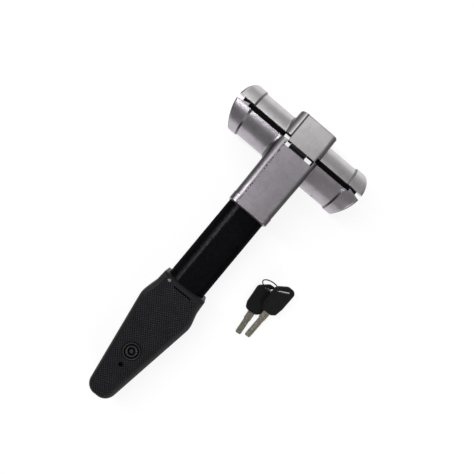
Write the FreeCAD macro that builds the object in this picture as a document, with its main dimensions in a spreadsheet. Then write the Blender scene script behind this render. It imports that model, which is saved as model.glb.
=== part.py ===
"""Steering wheel T lock: two clamp jaws, a key lock in the neck, a coated bar and a moulded grip.

The frame: X runs along the clamp, the handle points along -Y, +Z is up. The lock lies on its flat
back, z = 0, and the clamp's axis crosses x = 0, y = 0 at z = axis_height. All sizes are millimetres.
"""
import FreeCAD, Part
import math
import os
import re
import Sketcher

from FreeCAD import Placement, Rotation, Vector

DIMENSIONS = [
    # clamp
    ("axis_height", 27.0, "clamp axis above the flat back"),
    ("tube_radius", 24.2, "outside of the jaws"),
    ("collar_radius", 25.5, "outside of the end collars"),
    ("collar_ramp", 2.0, "length of the slope up to a collar"),
    ("shell_bore", 20.2, "inside of the jaw castings"),
    ("clamp_radius", 18.0, "inside of the rubber liners"),
    ("half_gap", 2.15, "upper jaw edge to the parting plane"),
    ("low_gap", 3.0, "lower jaw edge to the parting plane"),
    ("liner_gap", 0.2, "liner edge to the parting plane"),
    ("left_end", 76.2, "clamp axis crossing to the left tip"),
    ("right_end", 73.8, "clamp axis crossing to the right tip"),
    ("collar_length", 17.0, "collar step to the tip"),
    ("end_arc", 44.0, "radius of the arched ends, seen from the front"),
    ("end_round", 2.4, "rounding of the collar rims"),
    ("liner_inset", 5.5, "liner end behind the arched end"),
    ("lug_length", 12.0, "sloping lug on the lower collar"),
    ("lug_inset", 13.5, "tip to the lug's high end"),
    ("lug_rise", 3.2, "height of the lug above the jaw edge"),
    # block of the upper jaw
    ("block_half", 21.9, "half width of the block at the parting"),
    ("block_top_half", 21.5, "half width of the block at its top"),
    ("block_top", 28.2, "block top above the clamp axis"),
    ("corner_left", 7.0, "long edges of block and neck, left"),
    ("corner_right", 5.0, "long edges of block and neck, right"),
    ("top_round", 1.8, "rounding of the block's top face"),
    ("lap_left", 13.7, "left edge of the front lap"),
    ("lap_right", 18.2, "right edge of the front lap"),
    ("lap_drop", 3.0, "front lap below the clamp axis"),
    ("notch_drop", 8.4, "neck's front edge below the clamp axis"),
    ("window_left", 20.5, "rear window, left side"),
    ("window_right", 19.6, "rear window, right side"),
    ("window_low", 3.4, "rear window, lower edge above the axis"),
    ("window_high", 14.0, "rear window, upper edge above the axis"),
    # neck of the lower jaw
    ("root_round", 4.3, "fillet between the left arm and the neck"),
    ("block_root_round", 2.4, "fillet between the left arm and the block"),
    ("neck_half", 22.6, "half width of the neck at the parting"),
    ("neck_end_half", 21.6, "half width of the neck at its end"),
    ("neck_end", 78.5, "neck end below the clamp axis"),
    ("neck_end_depth", 53.0, "depth of the neck at its end"),
    ("lip_start", 70.4, "start of the end lip below the axis"),
    ("lip_proud", 0.4, "lip above the neck's faces"),
    # toothed tongues
    ("tongue_half", 9.5, "half width of a tongue"),
    ("tongue_inner", 19.0, "tongue's inner face from the axis"),
    ("tongue_outer", 24.0, "tongue's outer face from the axis"),
    ("tongue_top", 22.0, "tongue's fixed end above the axis"),
    ("tongue_tip", 56.0, "tongue's free end below the axis"),
    ("tooth_pitch", 6.4, "pitch of the grooves"),
    ("groove_half", 1.5, "half width of a groove"),
    ("groove_depth", 1.5, "depth of a groove in the inner face"),
    ("edge_depth", 0.9, "depth of a groove in the edges and outer face"),
    ("slot_clearance", 0.3, "tongue to its slot"),
    ("pin_radius", 1.5, "cross pins that hold the tongues"),
    ("pin_height", 17.8, "cross pins above the axis"),
    ("pin_offset", 21.5, "cross pins from the axis, front and back"),
    # lock
    ("lock_drop", 44.0, "lock centre line below the clamp axis"),
    ("case_radius", 15.0, "outside of the lock case"),
    ("case_left", 13.5, "inner end of the lock case"),
    ("case_right", 19.6, "outer end of the lock case"),
    ("plug_radius", 6.0, "key plug"),
    ("plug_left", 3.0, "inner end of the plug"),
    ("plug_right", 19.4, "outer end of the plug"),
    ("cam_left", 9.6, "inner face of the cam"),
    ("cam_long", 6.1, "long half axis of the cam"),
    ("cam_short", 4.5, "short half axis of the cam"),
    ("bolt_foot", 4.8, "bolt foot's inner face from the axis"),
    ("bolt_ledge", 7.0, "bolt foot's outer face from the axis"),
    ("bolt_shoulder", 17.2, "bolt's outer face from the axis"),
    ("bolt_tip", 18.6, "ridge of the bolt from the axis"),
    ("spring_seat", 11.0, "outer seat of the bolt springs"),
    ("bolt_width", 5.8, "bolt, along the clamp"),
    ("bolt_foot_half", 8.0, "half length of the bolt's foot"),
    ("bolt_half", 4.0, "half length of the bolt's stem"),
    ("running", 0.1, "clearance of sliding pieces"),
    ("cover_radius", 6.2, "keyhole cover"),
    ("cover_thick", 1.2, "thickness of the keyhole cover"),
    # bar
    ("bar_half", 21.2, "half width of the covered bar"),
    ("bar_low", 3.0, "bar's back above the flat back"),
    ("bar_high", 35.0, "bar's front above the flat back"),
    ("bar_corner", 14.0, "rounded edges of the bar"),
    ("cover_wall", 1.2, "thickness of the bar's sleeve"),
    ("tube_wall", 2.3, "wall of the steel tube"),
    ("bar_end", 244.0, "tube end inside the grip"),
    ("spigot_end", 122.0, "spigot of the neck inside the tube"),
    # grip
    ("grip_top", 172.6, "upper end of the grip"),
    ("grip_high", 38.0, "grip's front above the flat back"),
    ("grip_part", 18.5, "parting plane of the two shells"),
    ("grip_top_half", 25.1, "half width at the upper end"),
    ("waist_half", 26.0, "half width above the swell"),
    ("waist_y", 186.6, "place of the waist"),
    ("swell_half", 30.4, "half width at the swell"),
    ("swell_y", 202.4, "place of the swell"),
    ("tip_half", 13.1, "half width where the sides would meet the tip"),
    ("grip_tip", 311.0, "lower end of the grip"),
    ("tip_round", 12.6, "rounding of the tip"),
    ("side_round", 24.0, "rounding of swell and waist"),
    ("rim_round", 6.0, "rounding of the shells' rims"),
    ("medallion_y", 254.1, "centre of the medallion"),
    ("medallion_radius", 9.4, "radius of the medallion"),
    ("medallion_thick", 2.0, "thickness of the medallion"),
    ("screw_y", 270.6, "grip screw"),
    ("screw_head", 2.4, "radius of the grip screw's recess"),
    ("grip_pin_x", 15.6, "grip pin left of the middle"),
    ("grip_pin_y", 177.2, "grip pin"),
    # keys
    ("key_thick", 4.2, "thickness of a key's head"),
    ("key_half", 10.5, "half width of a key's head"),
    ("key_head", 36.0, "length of a key's head"),
    ("blade_half", 3.8, "half width of a key's blade"),
    ("blade_length", 34.7, "blade outside the head"),
    ("blade_thick", 2.2, "thickness of a blade"),
    ("ring_radius", 9.7, "key ring"),
    ("ring_wire", 0.65, "radius of the key ring's wire"),
    # more of the lock
    ("pin_reach", 13.0, "cross pins left of the middle"),
    ("liner_window", 12.0, "liner window from the parting plane"),
    ("bolt_right", 3.6, "bolt's right face left of the middle"),
    ("recess_drop", 42.0, "centre of the cover's recess below the axis"),
    ("recess_radius", 19.0, "recess of the keyhole cover"),
    ("cover_arm", 9.6, "cover's rivet above the keyhole"),
    ("rivet_radius", 1.2, "shank of the cover's rivet"),
    ("rivet_depth", 7.0, "rivet in the lock case"),
    ("tail_half", 1.5, "half width of the plug's square tail"),
    ("tail_end_radius", 1.4, "round end of the plug's tail"),
    ("bearing_start", 11.2, "inner wall of the cam's room"),
    ("wafer_half", 2.6, "half width of a wafer"),
    ("wafer_reach", 5.2, "half height of a wafer"),
    ("wafer_thick", 1.2, "thickness of a wafer"),
    ("spring_offset", 6.0, "bolt springs beside the bolt's middle"),
    ("spring_radius", 1.35, "bolt spring, middle of the wire"),
    ("spring_wire", 0.25, "radius of the spring wire"),
    ("boss_radius", 4.2, "screw boss of the grip"),
    ("screw_seat", 30.0, "seat of the grip screw above the back"),
    ("short_blade", 27.0, "blade of the lower key outside the head"),
    ("key_tang", 14.0, "blade inside the head"),
    ("ring_tilt", 60.0, "tilt of the key ring from the ground, degrees"),
    ("ring_x", 69.4, "key ring right of the middle"),
    ("ring_y", 120.2, "key ring below the clamp axis"),
]

doc = FreeCAD.newDocument("wheel_lock")
sheet = doc.addObject("Spreadsheet::Sheet", "Dims")
for row, (alias, value, note) in enumerate(DIMENSIONS, 1):
    sheet.set(f"A{row}", alias)
    sheet.set(f"B{row}", str(value))
    sheet.set(f"C{row}", note)
    sheet.setAlias(f"B{row}", alias)
doc.recompute()

ALIASES = {alias for alias, value, note in DIMENSIONS}
SIZE = {alias: value for alias, value, note in DIMENSIONS}
TURN = {
    "X": Rotation(Vector(0, 1, 0), 90),
    "Y": Rotation(Vector(1, 0, 0), -90),
    "Z": Rotation(),
}
nodes = []


# ---------------------------------------------------------------- helpers

def full(expression):
    """The expression with the sheet's name put before each alias."""
    return re.sub(r"[a-z_]+", lambda m: "Dims." + m[0] if m[0] in ALIASES else m[0], str(expression))


def bind(item, prop, expression):
    item.setExpression(prop, full(expression))


def place(item, x, y, z):
    for letter, value in zip("xyz", (x, y, z)):
        bind(item, "Placement.Base." + letter, value)


def box(name, x, y, z):
    """A box between pairs of expressions (low, high)."""
    item = doc.addObject("Part::Box", name)
    for prop, span in zip(("Length", "Width", "Height"), (x, y, z)):
        bind(item, prop, f"({span[1]}) - ({span[0]})")
    place(item, x[0], y[0], z[0])
    return item


def rod(name, axis, start, radius, length):
    """A cylinder that starts at a point and runs along +X, +Y or +Z."""
    item = doc.addObject("Part::Cylinder", name)
    item.Placement = Placement(Vector(), TURN[axis])
    bind(item, "Radius", radius)
    bind(item, "Height", length)
    place(item, *start)
    return item


def cone(name, axis, start, radius, end_radius, length):
    item = doc.addObject("Part::Cone", name)
    item.Placement = Placement(Vector(), TURN[axis])
    bind(item, "Radius1", radius)
    bind(item, "Radius2", end_radius)
    bind(item, "Height", length)
    place(item, *start)
    return item


def taper(name, y, x_low, x_high, z_low, z_high):
    """A block along Y; x and z spans are given at y's low end and at its high end."""
    item = doc.addObject("Part::Wedge", name)
    values = {"Ymin": y[0], "Ymax": y[1]}
    values.update({"Xmin": x_low[0], "Xmax": x_low[1], "X2min": x_high[0], "X2max": x_high[1]})
    values.update({"Zmin": z_low[0], "Zmax": z_low[1], "Z2min": z_high[0], "Z2max": z_high[1]})
    for prop, value in values.items():
        bind(item, prop, value)
    return item


def fuse(name, *items):
    item = doc.addObject("Part::MultiFuse", name)
    item.Shapes = list(items)
    item.Refine = True
    return item


def common(name, *items):
    item = doc.addObject("Part::MultiCommon", name)
    item.Shapes = list(items)
    item.Refine = True
    return item


def cut(name, base, *tools):
    """The base without the tools."""
    item = doc.addObject("Part::Cut", name)
    item.Base = base
    item.Tool = tools[0] if len(tools) == 1 else fuse(name + "_tools", *tools)
    item.Refine = True
    return item


def fillet(name, base, picks):
    """Round the base's edges: picks is a list of (radius, test of an edge)."""
    doc.recompute()
    rounds = []
    for radius, test in picks:
        rounds += [(number, radius, radius) for number, edge in enumerate(base.Shape.Edges, 1) if test(edge)]
    item = doc.addObject("Part::Fillet", name)
    item.Base = base
    item.Edges = rounds
    return item


def ends(edge):
    return edge.Vertexes[0].Point, edge.Vertexes[-1].Point


def runs_along(edge, axis, tolerance=0.05):
    """Is the edge a line within a few degrees of an axis?"""
    if edge.Curve.TypeId != "Part::GeomLine":
        return False
    first, last = ends(edge)
    along = (last - first).normalize()
    return abs(abs(getattr(along, axis)) - 1) < tolerance


def at_height(edge, height):
    return abs(edge.BoundBox.ZMin - height) < 1e-4 and abs(edge.BoundBox.ZMax - height) < 1e-4


def outline_pad(name, points, plane, start, length):
    """A PartDesign body: a closed outline of (x, y) expressions, padded from a start level."""
    body = doc.addObject("PartDesign::Body", name)
    sketch = body.newObject("Sketcher::SketchObject", name + "_outline")
    base = next(f for f in body.Origin.OriginFeatures if f.Role == plane)
    sketch.AttachmentSupport = (base, "")
    sketch.MapMode = "FlatFace"
    bind(sketch, "AttachmentOffset.Base.z", start)
    corners = [Vector(math.cos(a), math.sin(a), 0) for a in
               (2 * math.pi * i / len(points) for i in range(len(points)))]
    for i, corner in enumerate(corners):
        sketch.addGeometry(Part.LineSegment(corner, corners[(i + 1) % len(corners)]))
    for i in range(len(points)):
        sketch.addConstraint(Sketcher.Constraint("Coincident", i, 2, (i + 1) % len(points), 1))
    for i, point in enumerate(points):
        for axis, kind, value in (("x", "DistanceX", point[0]), ("y", "DistanceY", point[1])):
            number = sketch.addConstraint(Sketcher.Constraint(kind, -1, 1, i, 1, getattr(corners[i], axis)))
            sketch.renameConstraint(number, f"{axis}{i}")
            bind(sketch, f"Constraints.{axis}{i}", value)
    pad = body.newObject("PartDesign::Pad", name + "_pad")
    pad.Profile = sketch
    bind(pad, "Length", length)
    return body


def node(label, item):
    """Take the item as a finished sub-part."""
    item.Label = label
    nodes.append((label, item))
    return item


def runs_y(edge):
    return runs_along(edge, "y")


def z_span(side, near, far):
    """A span of z that lies between two distances from the clamp axis, in front or behind."""
    if side > 0:
        return f"axis_height + {near}", f"axis_height + {far}"
    return f"axis_height - ({far})", f"axis_height - ({near})"


def both_ways(half):
    return f"-({half})", half


# ---------------------------------------------------------------- clamp jaws

CLAMP_START = ("-left_end", 0, "axis_height")


def arched_ends(name, inset):
    """A block whose two ends are arcs seen from the front, further in by the inset."""
    radius = f"(end_arc - {inset})"
    middle = box(name + "_span", ("-left_end + end_arc", "right_end - end_arc"), both_ways(radius),
                 ("-axis_height", "3 * axis_height"))
    arcs = [rod(name + "_arc_left", "Z", ("-left_end + end_arc", 0, "-axis_height"), radius,
                "4 * axis_height"),
            rod(name + "_arc_right", "Z", ("right_end - end_arc", 0, "-axis_height"), radius,
                "4 * axis_height")]
    return fuse(name + "_ends", middle, *arcs)


def is_rim(edge):
    """The edge between a collar and an arched end, the only kind that is a free curve."""
    return edge.Curve.TypeId == "Part::GeomBSplineCurve"


def clamp_half(name, side):
    """Half of the clamp: a tube, two collars, arched ends with rounded rims."""
    right_step = "right_end - collar_length"
    pieces = [
        rod(name + "_tube", "X", CLAMP_START, "tube_radius", "left_end + right_end"),
        rod(name + "_left", "X", CLAMP_START, "collar_radius", "collar_length"),
        rod(name + "_right", "X", (right_step, 0, "axis_height"), "collar_radius", "collar_length"),
        cone(name + "_left_ramp", "X", ("-left_end + collar_length", 0, "axis_height"),
             "collar_radius", "tube_radius", "collar_ramp"),
        cone(name + "_right_ramp", "X", (right_step + " - collar_ramp", 0, "axis_height"),
             "tube_radius", "collar_radius", "collar_ramp"),
    ]
    half = common(name + "_half", fuse(name + "_blank", *pieces), arched_ends(name, "0"), side)
    return fillet(name + "_rims", half, [(SIZE["end_round"], is_rim)])


def clamp_bore(name, radius):
    return rod(name, "X", ("-2 * left_end", 0, "axis_height"), radius, "4 * left_end")


def below_parting(name, gap):
    """Everything on the handle's side of a plane that lies the gap away from the clamp axis."""
    return box(name, both_ways("2 * left_end"), ("-3 * axis_height", f"-({gap})"),
               ("-axis_height", "3 * axis_height"))


def above_parting(name, gap):
    return box(name, both_ways("2 * left_end"), (gap, "3 * axis_height"),
               ("-axis_height", "3 * axis_height"))


def tongue_slot(name, side, low, high):
    """The slot of the front (side 1) or back (side -1) tongue."""
    return box(name, both_ways("tongue_half + slot_clearance"), (low, high),
               z_span(side, "tongue_inner - slot_clearance", "tongue_outer + slot_clearance"))


def corners():
    """The rounding of the long edges of block and neck."""
    return [(SIZE["corner_left"], lambda edge: runs_y(edge) and edge.BoundBox.Center.x < 0),
            (SIZE["corner_right"], lambda edge: runs_y(edge) and edge.BoundBox.Center.x > 0)]


def lug(name, side, face):
    """The sloping lug on a lower collar's edge: side is the end, face is front or back."""
    tip = "-left_end" if side < 0 else "right_end"
    high = f"{tip} - ({side}) * lug_inset"
    low = f"{high} + ({side}) * lug_length"
    points = [(high, "-low_gap - 1.5"), (low, "-low_gap - 1.5"), (low, "-low_gap"),
              (high, "lug_rise - low_gap")]
    start, end = z_span(face, "shell_bore + 0.4", "collar_radius - 0.5")
    return outline_pad(name, points if side > 0 else points[::-1], "XY_Plane", start, f"{end} - ({start})")


def neck_solid():
    raw = taper("neck_raw", ("-neck_end", "-low_gap"), both_ways("neck_end_half"), both_ways("neck_half"),
                ("0", "neck_end_depth"), ("0", "2 * axis_height"))
    half = "neck_end_half + lip_proud"
    lip_raw = taper("lip_raw", ("-neck_end", "-lip_start"), both_ways(half), both_ways(half + " + 0.1"),
                    ("0", "neck_end_depth + lip_proud"), ("0", "neck_end_depth + lip_proud + 0.1"))
    return fillet("neck", raw, corners()), fillet("lip", lip_raw, corners())


def bar_prism(name, y, inset):
    """A length of the bar's rounded section, smaller all round by the inset expression and value."""
    text, value = inset
    x = both_ways(f"bar_half - ({text})")
    z = (f"bar_low + {text}", f"bar_high - ({text})")
    raw = taper(name + "_raw", y, x, x, z, z)
    return fillet(name, raw, [(SIZE["bar_corner"] - value, runs_y)])


def tube_inset(extra):
    """The inside of the steel tube, smaller by the extra."""
    return f"cover_wall + tube_wall + {extra}", SIZE["cover_wall"] + SIZE["tube_wall"] + extra


SCREW_PLACES = ("-neck_end - 14", "-neck_end - 31")


def neck_screw_holes(name, radius, low, high):
    return [rod(f"{name}_{i}", "Z", (0, y, low), radius, f"{high} - ({low})")
            for i, y in enumerate(SCREW_PLACES, 1)]


CASE_PIN = ("14", "-lock_drop - 13.5")


def is_left_root(edge):
    """The edge where the left arm's round outside meets the slightly sloping flat side."""
    bounds = edge.BoundBox
    return edge.Curve.TypeId == "Part::GeomEllipse" and -24 < bounds.XMin and bounds.XMax < -20


def make_lower_jaw():
    half = clamp_half("low", below_parting("low_side", "low_gap"))
    neck, lip = neck_solid()
    rooted = fillet("lower_rooted", fuse("lower_raw", half, neck), [(SIZE["root_round"], is_left_root)])
    back_lap = box("back_lap", ("-window_left + slot_clearance", "window_right - slot_clearance"),
                   ("-2 * half_gap", "window_low"), ("0", "12"))
    spigot = bar_prism("spigot", ("-spigot_end", "-neck_end + 1"), tube_inset(SIZE["running"]))
    solid = fuse("lower_solid", rooted, lip, back_lap, spigot)
    notch = box("front_notch", ("-lap_left - slot_clearance", "lap_right + slot_clearance"),
                ("-notch_drop", "3 * half_gap"), ("axis_height + 12", "3 * axis_height"))
    lock_bore = rod("lock_bore", "X", ("-case_left - 0.2", "-lock_drop", "axis_height"),
                    "case_radius + running", "2 * neck_half + case_left")
    windows = box("bolt_windows", ("-bolt_right - bolt_width - 2 * running", "-bolt_right + 2 * running"),
                  ("-lock_drop - bolt_half - running", "-lock_drop + bolt_half + running"),
                  ("axis_height - tongue_inner", "axis_height + tongue_inner"))
    recess = rod("cover_recess", "X", ("case_right", "-recess_drop", "axis_height"), "recess_radius", "20")
    pin_hole = rod("case_pin_hole", "Z", (*CASE_PIN, "-1"), "pin_radius + 0.05", "axis_height + 5")
    body = cut("lower_cut", solid, clamp_bore("low_bore", "shell_bore"), notch,
               tongue_slot("low_front_slot", 1, "-tongue_tip - 1", "3 * half_gap"),
               tongue_slot("low_back_slot", -1, "-tongue_tip - 1", "2 * window_low"),
               lock_bore, windows, recess, pin_hole,
               *neck_screw_holes("spigot_hole", "2.5", "bar_low", "bar_low + 15"))
    lugs = [lug(f"lug_{side + 2}_{face + 2}", side, face) for side in (-1, 1) for face in (-1, 1)]
    return fuse("lower_jaw", body, *lugs)


def make_upper_jaw():
    half = clamp_half("up", above_parting("up_side", "half_gap"))
    raw = taper("block_raw", ("half_gap", "block_top"), both_ways("block_half"), both_ways("block_top_half"),
                ("0", "2 * axis_height"), ("0", "2 * axis_height"))
    edged = fillet("block_edged", raw, corners())
    top = SIZE["block_top"]
    block = fillet("block", edged, [(SIZE["top_round"], lambda edge: edge.BoundBox.YMin > top - 0.01)])
    rooted = fillet("upper_rooted", fuse("upper_raw", half, block), [
        (SIZE["block_root_round"], is_left_root)])
    lap_raw = box("lap_raw", both_ways("block_half - 0.3"), ("-lap_drop", "2 * half_gap"),
                  ("0", "2 * axis_height"))
    lap_span = box("lap_span", ("-lap_left", "lap_right"), both_ways("2 * block_half"),
                   ("axis_height + 12", "3 * axis_height"))
    lap = common("front_lap", fillet("lap_edged", lap_raw, corners()), lap_span)
    window = box("rear_window", ("-window_left", "window_right"), ("-half_gap", "window_high"), ("-1", "13"))
    pins = [rod(f"up_pin_hole_{i}", "X", ("-pin_reach - 0.2", "pin_height", f"axis_height {sign} pin_offset"),
                "pin_radius + 0.02", "2 * block_half + pin_reach") for i, sign in enumerate("+-")]
    return cut("upper_jaw", fuse("upper_solid", rooted, lap), clamp_bore("up_bore", "shell_bore"),
               window, tongue_slot("up_front_slot", 1, "-2 * lap_drop", "tongue_top"),
               tongue_slot("up_back_slot", -1, "-2 * lap_drop", "tongue_top"), *pins)


def make_liner(name, side):
    """A rubber half liner; its front and back are open in the middle for the tongues."""
    ring = cut(name + "_ring", clamp_bore(name + "_outer", "shell_bore"),
               clamp_bore(name + "_inner", "clamp_radius"))
    if side > 0:
        half = above_parting(name + "_side", "liner_gap")
        length = arched_ends(name, "liner_inset")
        y = ("-1", "liner_window")
    else:
        half = below_parting(name + "_side", "liner_gap")
        length = box(name + "_length", ("-left_end + lug_inset + 0.3", "right_end - lug_inset - 0.3"),
                     both_ways("axis_height"), ("0", "2 * axis_height"))
        y = ("-liner_window", "1")
    window = box(name + "_window", ("-window_left - 0.5", "window_right + 0.5"), y,
                 ("-1", "2 * axis_height + 1"))
    return cut(name, common(name + "_part", ring, half, length), window)


GROOVES = range(-1, 7)


def tooth_edge(level, sign):
    """Points of a grooved edge along y: level is the edge, sign * edge_depth is how far a groove cuts."""
    points = []
    for k in GROOVES:
        y = f"-lock_drop + {k} * tooth_pitch"
        points += [(level, f"{y} - edge_depth"), (f"{level} {sign} edge_depth", y),
                   (level, f"{y} + edge_depth")]
    return points


def make_tongue(name, side):
    """A flat steel tongue with V grooves right round it."""
    right = [("tongue_half", "-tongue_tip"), *tooth_edge("tongue_half", "-"), ("tongue_half", "tongue_top")]
    left = [("-tongue_half", "-tongue_tip"), *tooth_edge("-tongue_half", "+"), ("-tongue_half", "tongue_top")]
    low, high = z_span(side, "tongue_inner", "tongue_outer")
    front = outline_pad(name + "_front", right + left[::-1], "XY_Plane", low, "tongue_outer - tongue_inner")
    inner, outer = (low, high) if side > 0 else (high, low)
    inward, outward = ("+", "-") if side > 0 else ("-", "+")
    profile = [("-tongue_tip", inner)]
    for k in GROOVES:
        y = f"-lock_drop + {k} * tooth_pitch"
        profile += [(f"{y} - groove_half", inner), (y, f"{inner} {inward} groove_depth"),
                    (f"{y} + groove_half", inner)]
    profile += [("tongue_top", inner), ("tongue_top", outer)]
    for k in reversed(GROOVES):
        y = f"-lock_drop + {k} * tooth_pitch"
        profile += [(f"{y} + edge_depth", outer), (y, f"{outer} {outward} edge_depth"),
                    (f"{y} - edge_depth", outer)]
    profile += [("-tongue_tip", outer)]
    if side < 0:
        profile = profile[::-1]
    across = outline_pad(name + "_across", profile, "YZ_Plane", "-tongue_half", "2 * tongue_half")
    sign = "+" if side > 0 else "-"
    hole = rod(name + "_hole", "X", ("-2 * tongue_half", "pin_height", f"axis_height {sign} pin_offset"),
               "pin_radius + 0.02", "4 * tongue_half")
    return cut(name, common(name + "_toothed", front, across), hole)


def make_tongue_pins():
    pins = [rod(f"tongue_pin_{i}", "X", ("-pin_reach", "pin_height", f"axis_height {sign} pin_offset"),
                "pin_radius", "pin_reach + block_half - 1.2") for i, sign in enumerate("+-")]
    return compound("tongue_pins", *pins)


# ---------------------------------------------------------------- lock in the neck

LOCK = ("-lock_drop", "axis_height")


def bolt_slot(name, side):
    """The room of a bolt in the lock case: its foot with the springs, then its stem."""
    x = ("-bolt_right - bolt_width - running", "-bolt_right + running")
    foot = box(name + "_foot", x, ("-lock_drop - bolt_foot_half - running",
                                   "-lock_drop + bolt_foot_half + running"),
               z_span(side, "0", "spring_seat"))
    stem = box(name + "_stem", x, ("-lock_drop - bolt_half - running", "-lock_drop + bolt_half + running"),
               z_span(side, "0", "2 * case_radius"))
    return foot, stem


def make_case():
    blank = rod("case_blank", "X", ("-case_left", *LOCK), "case_radius", "case_left + case_right")
    plug_room = rod("plug_room", "X", ("-plug_left - running", *LOCK), "plug_radius + running / 2", "60")
    cam_room = rod("cam_room", "X", ("-bearing_start", *LOCK), "cam_long + 1", "bearing_start - plug_left")
    bearing = rod("case_bearing", "X", ("-case_left + 0.8", *LOCK), "tail_end_radius + running / 2", "10")
    channel = box("wafer_channel", ("1.5", "plug_right - 1.5"),
                  ("-lock_drop - wafer_half - 0.2", "-lock_drop + wafer_half + 0.2"),
                  ("axis_height - plug_radius - 1.5", "axis_height + plug_radius + 1.5"))
    rivet = rod("rivet_hole", "X", ("case_right - rivet_depth", "-lock_drop + cover_arm", "axis_height"),
                "rivet_radius", "20")
    pin = rod("case_pin_notch", "Z", (*CASE_PIN, "-1"), "pin_radius + 0.05", "axis_height + 5")
    return cut("case", blank, plug_room, cam_room, bearing, channel, rivet, pin,
               *bolt_slot("front_slot", 1), *bolt_slot("back_slot", -1))


WAFER_PLACES = (4.0, 7.0, 10.0, 13.0, 16.0)


def make_plug():
    barrel = rod("plug_barrel", "X", ("-plug_left", *LOCK), "plug_radius", "plug_left + plug_right")
    tail = box("plug_tail", ("-cam_left - 0.1", "-plug_left + 1"),
               ("-lock_drop - tail_half", "-lock_drop + tail_half"),
               ("axis_height - tail_half", "axis_height + tail_half"))
    tail_end = rod("plug_tail_end", "X", ("-case_left + 1.2", *LOCK), "tail_end_radius", "case_left - 5")
    keyway = box("keyway", ("0", "2 * plug_right"), ("-lock_drop - 1.25", "-lock_drop + 1.25"),
                 ("axis_height - blade_half - 0.5", "axis_height + blade_half + 0.5"))
    slots = [box(f"wafer_slot_{i}", (x - 0.05, f"{x} + wafer_thick + 0.05"),
                 ("-lock_drop - wafer_half - 0.05", "-lock_drop + wafer_half + 0.05"),
                 ("axis_height - 2 * plug_radius", "axis_height + 2 * plug_radius"))
             for i, x in enumerate(WAFER_PLACES, 1)]
    return cut("plug", fuse("plug_solid", barrel, tail, tail_end), keyway, *slots)


def make_wafer(number, x):
    plate = box(f"wafer_plate_{number}", (x, f"{x} + wafer_thick"),
                ("-lock_drop - wafer_half", "-lock_drop + wafer_half"),
                ("axis_height - wafer_reach", "axis_height + wafer_reach"))
    eye = box(f"wafer_eye_{number}", (x - 1, f"{x} + 2"), ("-lock_drop - 1.25", "-lock_drop + 1.25"),
              ("axis_height - blade_half - 0.3", "axis_height + blade_half + 0.3"))
    return cut(f"wafer_cut_{number}", plate, eye)


def make_cam():
    """An oval cam: its long axis turns from across the bolts to along them."""
    oval = doc.addObject("Part::Ellipse", "cam_oval")
    bind(oval, "MajorRadius", "cam_long")
    bind(oval, "MinorRadius", "cam_short")
    oval.Placement = Placement(Vector(), Rotation(Vector(0, 1, 0), Vector(0, 0, 1), Vector(1, 0, 0), "ZXY"))
    place(oval, "-cam_left", *LOCK)
    solid = doc.addObject("Part::Extrusion", "cam_solid")
    solid.Base = oval
    solid.DirMode = "Custom"
    solid.Dir = Vector(1, 0, 0)
    solid.Solid = True
    bind(solid, "LengthFwd", "cam_left - bolt_right")
    hole = box("cam_hole", ("-2 * cam_left", "0"), ("-lock_drop - tail_half", "-lock_drop + tail_half"),
               ("axis_height - tail_half", "axis_height + tail_half"))
    return cut("cam", solid, hole)


def make_bolt(name, side):
    x = ("-bolt_right - bolt_width", "-bolt_right")
    foot = box(name + "_foot_block", x, ("-lock_drop - bolt_foot_half", "-lock_drop + bolt_foot_half"),
               z_span(side, "bolt_foot", "bolt_ledge"))
    stem = box(name + "_stem_block", x, ("-lock_drop - bolt_half", "-lock_drop + bolt_half"),
               z_span(side, "bolt_ledge", "bolt_shoulder"))
    sign = "+" if side > 0 else "-"
    base = f"axis_height {sign} bolt_shoulder"
    tip = f"axis_height {sign} bolt_tip"
    points = [("-lock_drop - 1.3", base), ("-lock_drop + 1.3", base), ("-lock_drop + 0.15", tip),
              ("-lock_drop - 0.15", tip)]
    ridge = outline_pad(name + "_ridge", points if side > 0 else points[::-1], "YZ_Plane", x[0], "bolt_width")
    return fuse(name, foot, stem, ridge)


def make_springs(name, side):
    """Two small coil springs beside a bolt's stem, between its foot and the case."""
    coils = []
    low = SIZE["bolt_ledge"] + 0.3
    high = SIZE["spring_seat"] - 0.3
    for offset in (-SIZE["spring_offset"], SIZE["spring_offset"]):
        turns = Part.makeHelix((high - low) / 4, high - low, SIZE["spring_radius"])
        start = Vector(SIZE["spring_radius"], 0, 0)
        profile = Part.Wire(Part.makeCircle(SIZE["spring_wire"], start, Vector(0, 1, 0)))
        coil = Part.Wire(turns).makePipeShell([profile], True, True)
        x = -SIZE["bolt_right"] - SIZE["bolt_width"] / 2
        z = SIZE["axis_height"] + side * (low if side > 0 else high)
        coil.translate(Vector(x, offset - SIZE["lock_drop"], z))
        coils.append(coil)
    item = doc.addObject("Part::Feature", name)
    item.Shape = Part.makeCompound(coils)
    return item


def make_clip():
    ring = rod("clip_ring", "X", ("-cam_left - 0.9", *LOCK), "3.0", "0.8")
    return cut("clip", ring, rod("clip_hole", "X", ("-2 * cam_left", *LOCK), "tail_end_radius + 0.02", "20"))


def make_cover():
    """The swivelling dust cover: a disc over the keyhole and an ear round the rivet."""
    start = "case_right + 0.6"
    disc = rod("cover_disc", "X", (start, *LOCK), "cover_radius", "cover_thick")
    ear = rod("cover_ear", "X", (start, "-lock_drop + cover_arm", "axis_height"), "3", "cover_thick")
    web = box("cover_web", (start, start + " + cover_thick"), ("-lock_drop", "-lock_drop + cover_arm"),
              ("axis_height - 3", "axis_height + 3"))
    hole = rod("cover_hole", "X", ("0", "-lock_drop + cover_arm", "axis_height"),
               "rivet_radius + running / 2", "2 * neck_half")
    return cut("cover", fuse("cover_solid", disc, ear, web), hole)


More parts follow.
